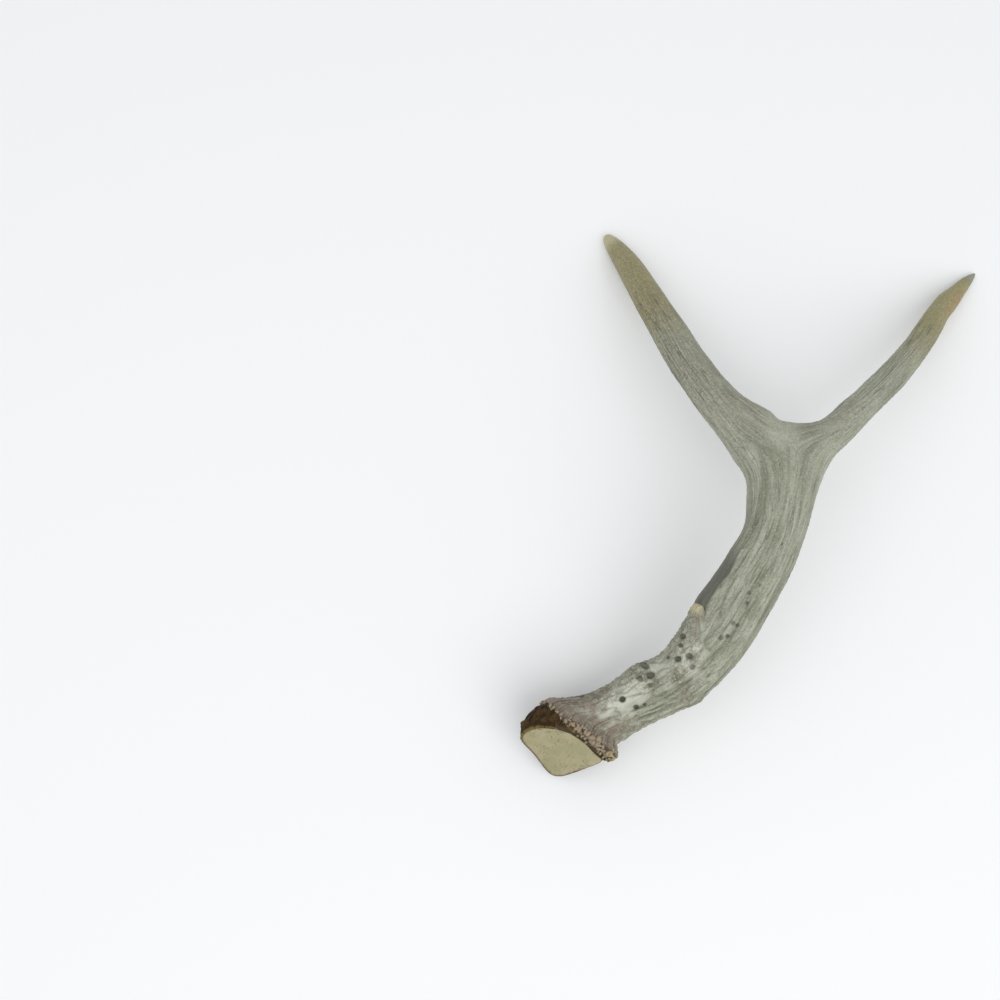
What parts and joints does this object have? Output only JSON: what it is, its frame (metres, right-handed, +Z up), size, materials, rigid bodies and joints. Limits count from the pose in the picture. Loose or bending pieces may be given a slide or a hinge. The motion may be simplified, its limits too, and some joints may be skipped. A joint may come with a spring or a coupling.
{
  "type": "deer antler",
  "caption": "Young deer's antler with a forked beam and a small brow nub, sawn through the pedicle, lying on its burr and tips.",
  "frame": {"origin": "middle of the antler's box, on the surface it lies on", "axes": "+Z up, +Y from the burr towards the two tips, +X from the front point towards the rear tine"},
  "size_m": [0.1778, 0.207, 0.0544],
  "materials": {
    "weathered_bone": "matt, grooved, weathered grey-green bone, raw and cream where sawn",
    "worn_point_bone": "smoother, honey-coloured bone towards the tips",
    "dried_hide": "dry, ridged, dark brown skin"
  },
  "bodies": {
    "root": {"beam": "weathered_bone", "front_point": "worn_point_bone", "rear_tine": "worn_point_bone", "dried_hide": "dried_hide"}
  },
  "joints": []
}
